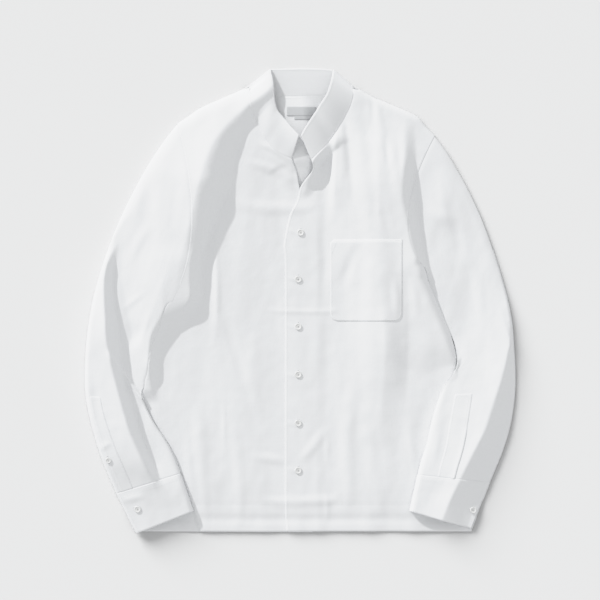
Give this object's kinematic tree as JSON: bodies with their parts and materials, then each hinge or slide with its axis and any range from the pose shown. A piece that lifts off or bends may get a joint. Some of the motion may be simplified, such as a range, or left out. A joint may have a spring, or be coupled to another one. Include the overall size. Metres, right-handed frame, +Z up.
{
  "type": "mandarin collar shirt",
  "caption": "Long-sleeved linen shirt with a band collar, button front, chest patch pocket and buttoned cuffs, laid flat on its back with the sleeves bent inwards.",
  "frame": {"origin": "on the surface that the shirt lies on, below the middle of its outline", "axes": "+X towards the wearer's left, +Y from the hem to the collar, +Z up from the surface"},
  "size_m": [0.7095, 0.766, 0.0425],
  "materials": {
    "linen": "plain-woven white linen, matt",
    "satin": "grey satin ribbon",
    "shell": "white shell-like resin, polished"
  },
  "bodies": {
    "root": {"back": "linen", "front_right": "linen", "front_left": "linen", "sleeve_right": "linen", "sleeve_left": "linen", "cuff_right": "linen", "cuff_left": "linen", "sleeve_placket_right": "linen", "sleeve_placket_left": "linen", "collar": "linen", "pocket": "linen", "label": "satin", "size_tab": "satin", "button_1": "shell", "button_2": "shell", "button_3": "shell", "button_4": "shell", "button_5": "shell", "button_6": "shell", "cuff_button_right": "shell", "cuff_button_left": "shell", "sleeve_button": "shell"}
  },
  "joints": []
}
